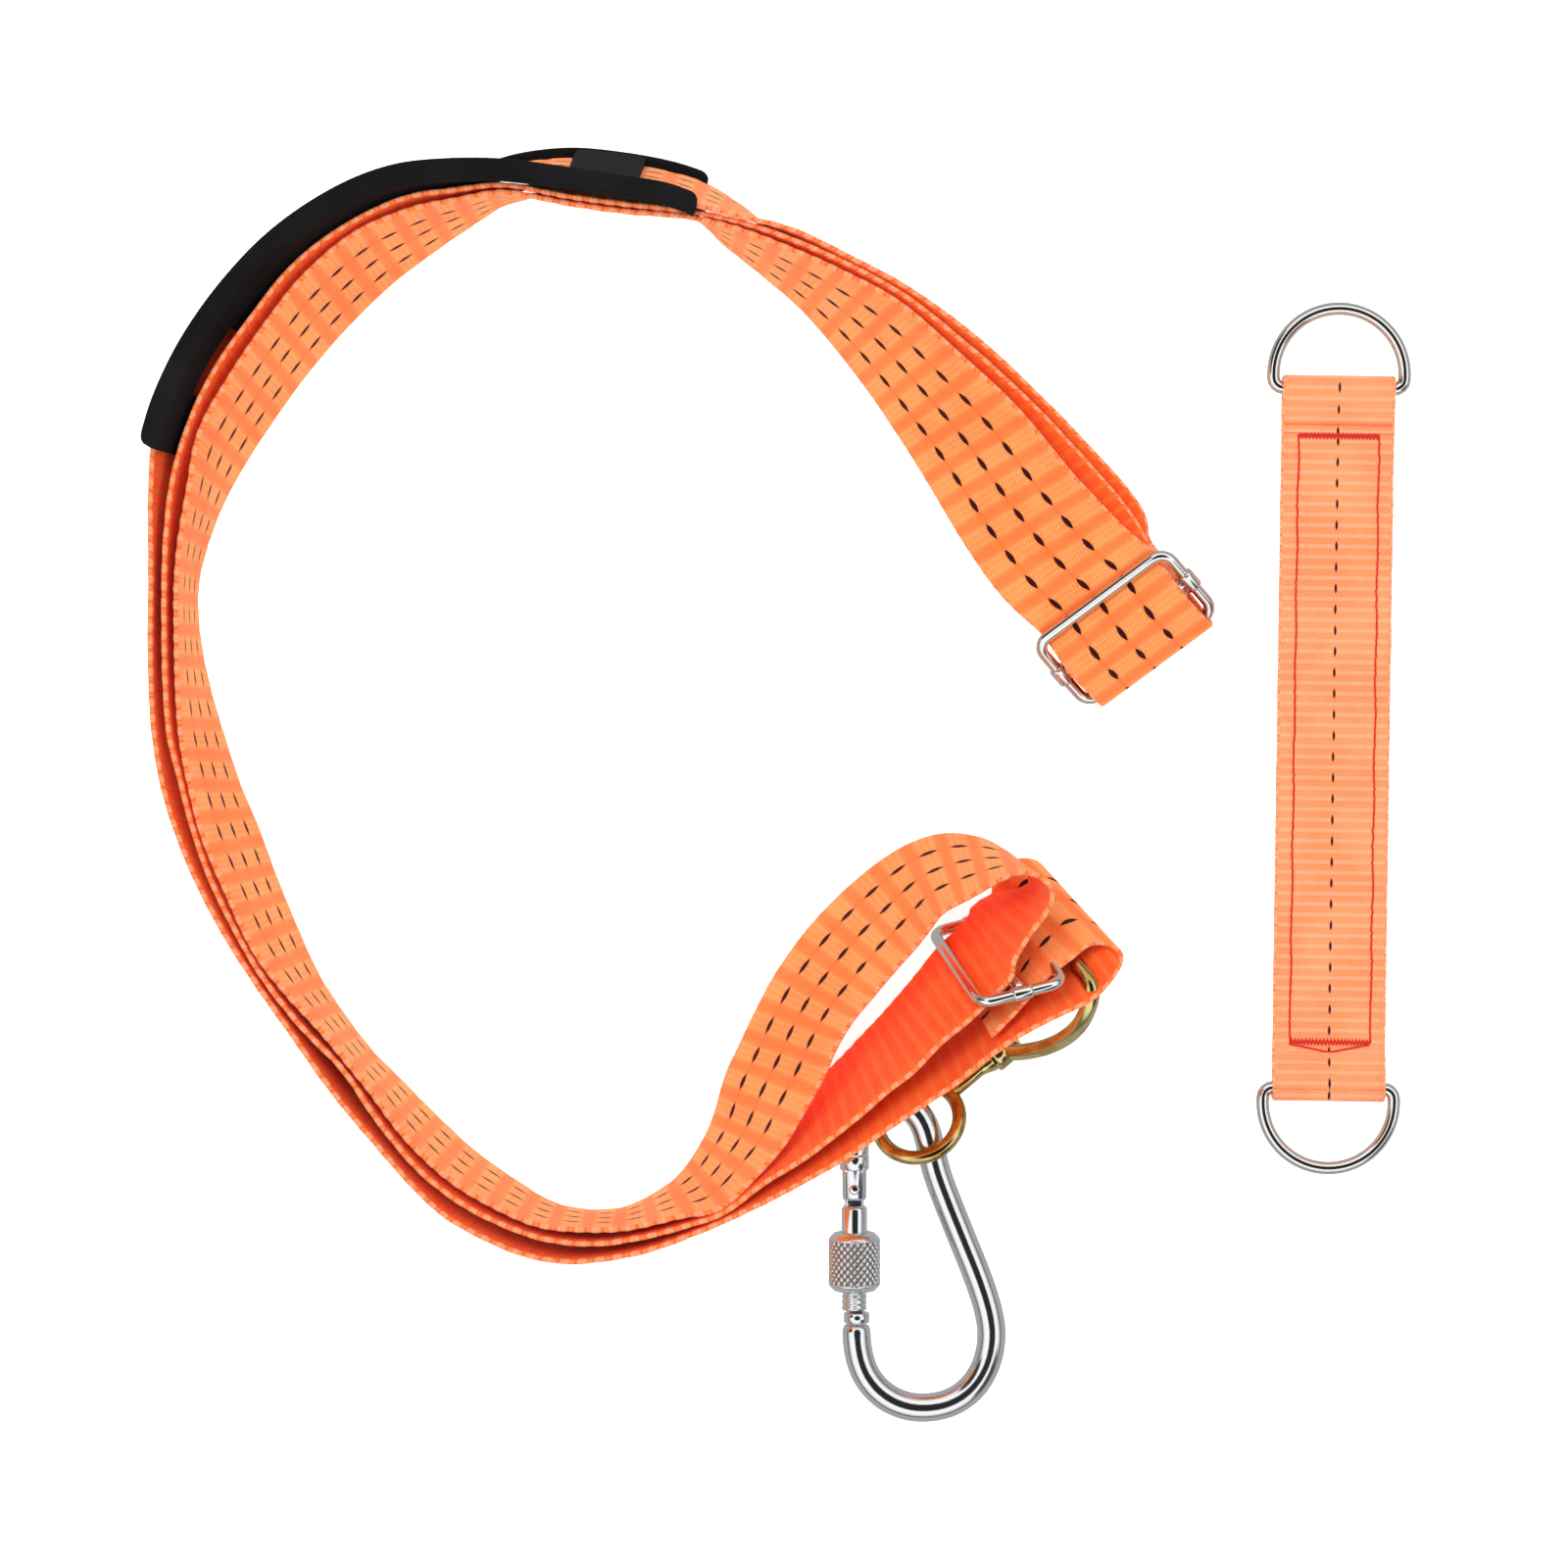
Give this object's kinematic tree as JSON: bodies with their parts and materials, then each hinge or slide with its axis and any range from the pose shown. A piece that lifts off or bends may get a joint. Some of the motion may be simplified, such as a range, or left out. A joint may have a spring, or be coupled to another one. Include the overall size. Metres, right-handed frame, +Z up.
{
  "type": "adjustable climbing strap set",
  "caption": "Adjustable webbing climbing strap with moulded wear pad, wire sliders, gold swivel and screw-gate carabiner, plus a short two-ended D-ring strap.",
  "frame": {"origin": "middle of the set's footprint, on the surface it lies on", "axes": "+Z up from the surface, +Y towards the wear pad side of the long strap, +X towards the short strap"},
  "size_m": [0.4422, 0.447, 0.069],
  "materials": {
    "webbing": "bright orange polyester webbing with dark tracer dashes on one face, matt",
    "short_webbing": "light orange double-ply webbing with one dark tracer row, matt",
    "thread": "red bonded sewing thread",
    "chrome_wire": "bright nickel-chrome plated wire",
    "chrome_rod": "bright plated steel rod",
    "gold_zinc": "yellow passivated zinc plate, slightly iridescent",
    "spring_steel": "plain steel",
    "pad_plastic": "black moulded plastic, satin"
  },
  "bodies": {
    "long_strap": {"strap_sewn_end": "webbing", "strap_middle_run": "webbing", "strap_hairpin": "webbing", "strap_arch": "webbing", "strap_inner_run": "webbing", "strap_bight": "webbing", "strap_pad_run": "webbing", "strap_outer_run": "webbing", "strap_swivel_loop": "webbing", "strap_stitching": "thread", "slider_a_frame": "chrome_wire", "slider_a_bar": "chrome_wire", "slider_b_frame": "chrome_wire", "slider_b_bar": "chrome_wire", "wear_pad": "pad_plastic", "swivel_bow": "gold_zinc"},
    "ring": {"swivel_ring": "gold_zinc", "swivel_washer": "gold_zinc"},
    "carabiner": {"carabiner_body": "chrome_rod", "gate_rivet": "chrome_rod"},
    "gate": {"carabiner_gate": "chrome_rod", "gate_spring": "spring_steel", "gate_plunger": "spring_steel"},
    "nut": {"lock_nut": "chrome_rod"},
    "short_strap": {"short_webbing_top": "short_webbing", "short_webbing_base": "short_webbing", "short_stitching": "thread"},
    "d_upper": {"d_ring_upper": "chrome_wire"},
    "d_lower": {"d_ring_lower": "chrome_wire"}
  },
  "joints": [
    {"name": "ring_swivel", "type": "hinge", "parent": "long_strap", "child": "ring", "pos_m": [0.0774, -0.0934, 0.006], "axis": [-0.7598, -0.6288, 0.1651], "range_deg": [0, 60]},
    {"name": "carabiner_swing", "type": "hinge", "parent": "ring", "child": "carabiner", "pos_m": [0.0387, -0.11739, 0.013], "axis": [0, -0.075, 0.9972], "range_deg": [-3, 3]},
    {"name": "gate_hinge", "type": "hinge", "parent": "carabiner", "child": "gate", "pos_m": [0.026, -0.14112, 0.01122], "axis": [0, -0.075, 0.9972], "range_deg": [0, 25], "stiffness_Nm_per_rad": 0.15, "springref_deg": -11.46},
    {"name": "nut_travel", "type": "slide", "parent": "gate", "child": "nut", "axis": [0, -0.9972, -0.075], "range_m": [0, 0.0035]},
    {"name": "short_strap_lift", "type": "slide", "parent": "long_strap", "child": "short_strap", "axis": [0, 0, 1], "range_m": [0, 0.1]},
    {"name": "d_ring_upper_hinge", "type": "hinge", "parent": "short_strap", "child": "d_upper", "pos_m": [0.19582, 0.13869, 0.00465], "axis": [0.9999, -0.0148, 0], "range_deg": [0, 100]},
    {"name": "d_ring_lower_hinge", "type": "hinge", "parent": "short_strap", "child": "d_lower", "pos_m": [0.19218, -0.10649, 0.00465], "axis": [-0.9999, 0.0148, 0], "range_deg": [0, 100]}
  ]
}
